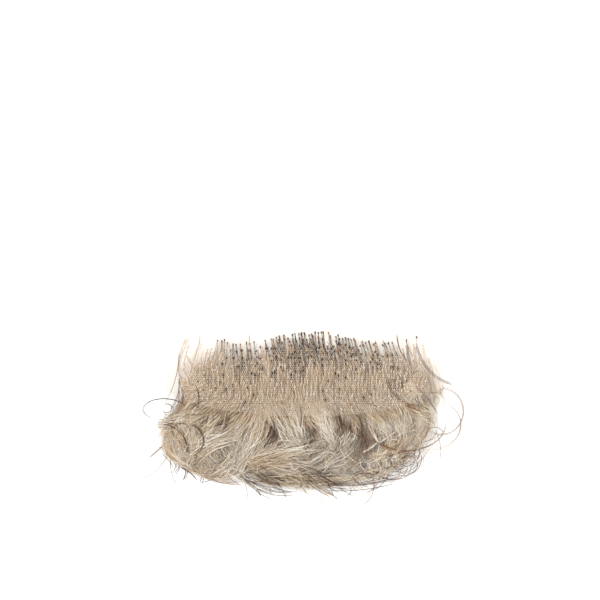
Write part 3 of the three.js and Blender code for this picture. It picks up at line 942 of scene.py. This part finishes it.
STRAYS = [
    Stray(-72.3, -48.6, 11.7, 6.0, 25, 225, 0.2, 2, 0.12),
    Stray(-70.5, -48.2, 2.6, 2.6, 200, 300, 0.3, 2, 0.24),
    Stray(-70.7, -43.2, 7.3, 7.3, 20, -100, 0.6, 3, 0.20),
    Stray(-73.3, -69.2, 13.2, 13.4, 100, -140, 0.5, 4, 0.20),
    Stray(-60.3, -64.5, 8.3, 8.3, 78, -145, 0.3, 3, 0.20),
    Stray(-90.5, -64.5, 20.3, 20.3, -12, -62, 0.3, 1, 0.45),
    Stray(-2.1, -95.7, 84, 84, 45, -13, 0.3, 1, 0.18),
    Stray(67.6, -44.4, 5.2, 4.6, 170, -230, 0.6, 1, 0.30),
    Stray(71.2, -49.4, 10.9, 11.7, 95, -230, 0.4, 2, 0.24),
    Stray(52.5, -56.7, 20.3, 13.0, 205, 165, 0.3, 2, 0.24),
    Stray(49.9, -33.3, 36, 36, 217, 35, 0.3, 2, 0.24),
    Stray(83.7, -11.4, 25.5, 25.5, 192, 78, 0.5, 2, 0.2),
    Stray(66.6, -56.7, 15.1, 13.0, 60, -150, 0.4, 2, 0.40),
    Stray(-105.6, -52.0, 104, 104, 3, -6, 0.25, 2, 0.26),
    Stray(-132.6, -12.5, 104, 104, 1.5, -3, 0.05, 1, 0.22),
    Stray(-9.9, -64.5, 27.6, 27.6, 222, 65, 1.0, 3, 0.12),
    Stray(21.3, -90.5, 3.1, 3.1, 60, -150, 0.2, 1, 0.16),
    Stray(21.3, 8.3, 97, 97, 265, 22, 1.2, 5, 0.16),
]


def stray_through(first, middle, last, spread, hairs, tone):
    """A stray through three points in millimetres."""
    x, y, radius, start, sweep = arc_through(first, middle, last)
    return Stray(x, y, radius, radius, start, sweep, spread, hairs, tone)


CROSSINGS = [
    # The first rows are near-white hairs, pale hair with a painted highlight.
    stray_through((32.8, -56.2), (36.1, -62.1), (40.0, -67.6), 0.2, 2, 0.95),
    stray_through((47.3, -59.8), (42.9, -62.7), (38.5, -66.0), 0.2, 2, 0.95),
    stray_through((34.8, -56.7), (36.9, -61.0), (38.5, -65.5), 0.2, 2, 0.95),
    stray_through((30.2, -70.7), (34.6, -68.3), (38.5, -65.0), 0.2, 2, 0.95),
    stray_through((36.9, -75.9), (38.2, -71.0), (39.0, -66.0), 0.2, 1, 0.95),
    stray_through((19.2, -55.1), (27.5, -61.9), (38.5, -65.5), 0.3, 2, 0.22),
    stray_through((38.5, -65.5), (43.5, -68.4), (49.4, -69.2), 0.3, 2, 0.24),
    stray_through((25.0, -83.2), (32.2, -80.9), (39.5, -83.2), 0.4, 3, 0.20),
    stray_through((39.5, -83.2), (45.2, -85.0), (51.5, -84.2), 0.4, 2, 0.20),
    stray_through((51.0, -84.2), (54.3, -80.1), (54.1, -76.4), 0.4, 2, 0.22),
    stray_through((46.3, -77.5), (51.0, -76.4), (57.7, -77.5), 0.4, 2, 0.20),
    stray_through((47.3, -79.3), (51.0, -80.1), (53.6, -78.5), 0.4, 2, 0.20),
    stray_through((49.9, -74.2), (55.6, -73.2), (58.2, -74.6), 0.4, 2, 0.22),
    stray_through((52.3, -71.2), (56.7, -71.3), (58.8, -74.2), 0.4, 2, 0.22),
    stray_through((43.7, -72.3), (51.0, -69.9), (60.3, -69.2), 0.4, 2, 0.22),
    stray_through((5.7, -85.3), (9.7, -88.1), (14.0, -90.5), 1.2, 4, 0.14),
    stray_through((42.6, -31.7), (45.2, -38.5), (52.0, -44.7), 0.4, 2, 0.22),
    stray_through((48.9, -10.4), (50.4, -17.7), (56.2, -25.0), 0.3, 2, 0.20),
    stray_through((48.4, -30.2), (50.4, -35.9), (51.0, -40.0), 0.3, 1, 0.22),
    stray_through((52.5, -43.7), (59.3, -48.4), (67.6, -54.1), 0.6, 3, 0.27),
    stray_through((57.7, -41.1), (60.8, -46.3), (65.5, -48.9), 0.5, 2, 0.22),
    stray_through((-2.1, -80.1), (5.7, -85.0), (13.5, -90.5), 1.0, 2, 0.20),
    stray_through((0.5, -79.0), (9.4, -83.0), (18.7, -88.9), 1.0, 3, 0.20),
    stray_through((4.2, -81.1), (12.5, -85.0), (18.7, -88.4), 1.0, 2, 0.20),
    stray_through((-64.9, -21.0), (-67.4, -35.0), (-72.7, -46.4), 0.3, 2, 0.20),
    stray_through((-65.1, -33.0), (-65.9, -41.1), (-69.5, -48.2), 0.5, 3, 0.25),
    stray_through((-63.2, -36.1), (-63.2, -42.6), (-68.1, -50.2), 0.5, 2, 0.25),
    stray_through((-56.4, -36.2), (-54.9, -42.6), (-57.5, -49.5), 0.3, 2, 0.20),
    stray_through((-68.5, -70.0), (-69.0, -81.0), (-64.5, -90.0), 0.2, 1, 0.45),
    stray_through((-73.3, -70.7), (-69.7, -74.4), (-66.6, -79.0), 0.5, 2, 0.22),
    stray_through((-66.0, -72.8), (-65.3, -77.0), (-68.1, -81.6), 0.5, 3, 0.20),
    stray_through((-64.5, -79.1), (-60.8, -81.1), (-56.7, -85.3), 0.6, 3, 0.20),
    stray_through((-61.9, -79.1), (-62.1, -82.2), (-63.2, -84.8), 0.6, 3, 0.22),
    stray_through((-56.7, -80.6), (-53.6, -81.9), (-49.0, -82.4), 0.6, 3, 0.20),
    stray_through((-52.0, -80.2), (-53.0, -84.2), (-54.1, -87.3), 0.6, 3, 0.22),
    stray_through((-71.9, -65.7), (-77.0, -70.5), (-80.9, -73.8), 0.4, 2, 0.45),
    stray_through((-51.5, -83.2), (-41.1, -86.0), (-33.3, -86.3), 0.5, 3, 0.30),
    stray_through((-23.9, -80.1), (-17.7, -85.0), (-10.4, -89.4), 1.2, 5, 0.12),
    stray_through((-28.1, -84.2), (-22.5, -86.6), (-16.6, -88.4), 1.0, 4, 0.12),
]


def edge_stray():
    """A short stray at the beard's edge: curled at the sides, sweeping down to the right at the bottom."""
    around = chance.uniform(*EDGE_SPAN)
    out = np.array([math.cos(math.radians(around)), math.sin(math.radians(around))])
    out = np.sign(out) * np.abs(out) ** (2 / EDGE_ROUNDNESS) * EDGE_REACH * chance.uniform(*EDGE_BAND)
    x, y = out + EDGE_CENTRE
    at_bottom = abs(x) < BOTTOM_HALF_WIDTH
    bend = chance.uniform(*BOTTOM_BENDS) if at_bottom else chance.triangular(*SIDE_BENDS)
    turning = chance.choice([-1, 1])
    heading = chance.normal(-35, 14) if at_bottom else around + 60 * turning + chance.normal(0, 30)
    centre_x, centre_y = arc_points(x, y, bend, bend, heading + 90 * turning)
    sweep = min(chance.uniform(*EDGE_LENGTHS) / bend * DEGREES_IN_RADIAN, MOST_CURL)
    dark_share = DARK_AT_BOTTOM if at_bottom else DARK_AT_LEFT if x < 0 else DARK_AT_RIGHT
    tones = DARK_STRAYS if chance.random() < dark_share else PALE_STRAYS
    tone = chance.uniform(*tones)
    return Stray(centre_x, centre_y, bend, bend * chance.uniform(0.8, 1.2), heading - 90 * turning,
                 turning * sweep, 0.1, 1, tone)


def stray_hairs(stray):
    """The few hairs of one stray, side by side."""
    u = np.linspace(0, 1, STRAY_STATIONS)
    nudge = chance.normal(0, stray.spread, (3, stray.hairs, 1))
    angles = stray.start + stray.sweep * (u + chance.uniform(-0.05, 0.05, stray.hairs)[:, None])
    across, down = stray.across + nudge[2], stray.down + nudge[2]
    x, y = arc_points(stray.x + nudge[0], stray.y + nudge[1], across, down, angles)
    edge_x = (x - EDGE_CENTRE[0]) / EDGE_REACH[0]
    edge_y = np.minimum(y - EDGE_CENTRE[1], 0) / EDGE_REACH[1]
    droop = STRAY_DROOP * np.clip(np.hypot(edge_x, edge_y) - DROOP_FROM, 0, None)
    x, y = x * MM, y * MM
    rise = 1.08 - 0.1 * u * chance.random(stray.hairs)[:, None]
    z = np.maximum(pile_at(x, y) * rise - droop, 1.2 * STRAY_RADIUS)
    on_lace = (y > lace_bottom(x)) & (np.abs(x) < HALF_WIDTH)
    z = np.where(on_lace, lace_lift(x, y) + OVER_LACE, z)
    radii = STRAY_RADIUS * np.interp(u, [0, 0.1, 0.8, 1], [0.6, 1, 0.85, 0.25])
    tones = np.clip(stray.tone + chance.normal(0, 0.03, stray.hairs), 0.01, 0.95)
    return np.stack([x, y, z], -1), np.broadcast_to(radii, x.shape), tones


strays = STRAYS + CROSSINGS + [edge_stray() for _ in range(EDGE_STRAYS)]
stray_strands = [np.concatenate(part) for part in zip(*map(stray_hairs, strays))]
stray_mesh = tube_mesh("stray_hairs", *stray_strands)
new_piece("stray_hairs", stray_mesh, loose_hair, "outer_hair")
